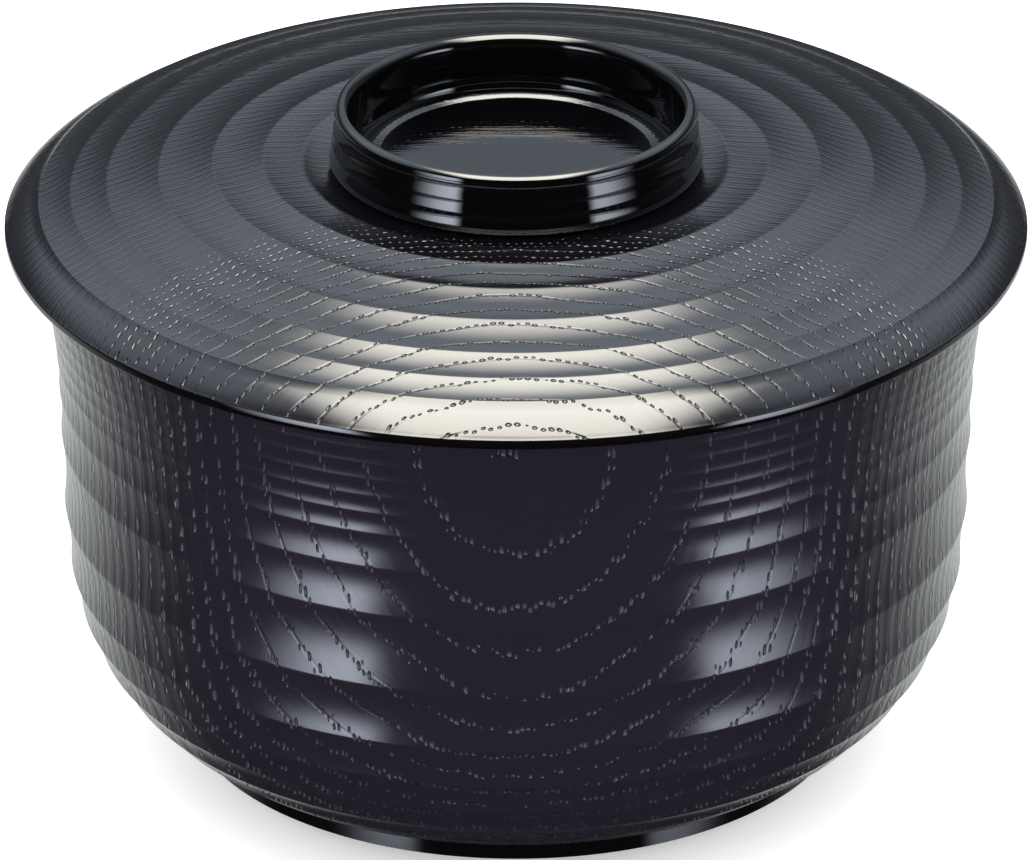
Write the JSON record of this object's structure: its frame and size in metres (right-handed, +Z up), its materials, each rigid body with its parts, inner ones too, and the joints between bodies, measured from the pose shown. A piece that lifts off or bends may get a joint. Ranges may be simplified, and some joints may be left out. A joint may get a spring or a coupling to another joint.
{
  "type": "rice bowl",
  "caption": "Deep round rice bowl on a low foot ring with a lift-off domed lid, turned coves round both, and a ring on the lid that serves as its handle and stand.",
  "frame": {"origin": "centre of the foot ring's tread, on the surface that the bowl stands on", "axes": "+Z up along the bowl's axis, from the foot to the ring on the lid"},
  "size_m": [0.13, 0.13, 0.0883],
  "materials": {
    "grained_lacquer": "black lacquer over open-grained turned wood, satin gloss with the pores showing; smooth inside",
    "gloss_lacquer": "smooth black lacquer, mirror gloss"
  },
  "bodies": {
    "bowl": {"bowl_body": "grained_lacquer", "foot_ring": "gloss_lacquer"},
    "lid": {"lid_shell": "grained_lacquer", "lid_ring": "gloss_lacquer"}
  },
  "joints": [
    {"name": "lid_lift", "type": "slide", "parent": "bowl", "child": "lid", "axis": [0, 0, 1], "range_m": [0, 0.1]}
  ]
}
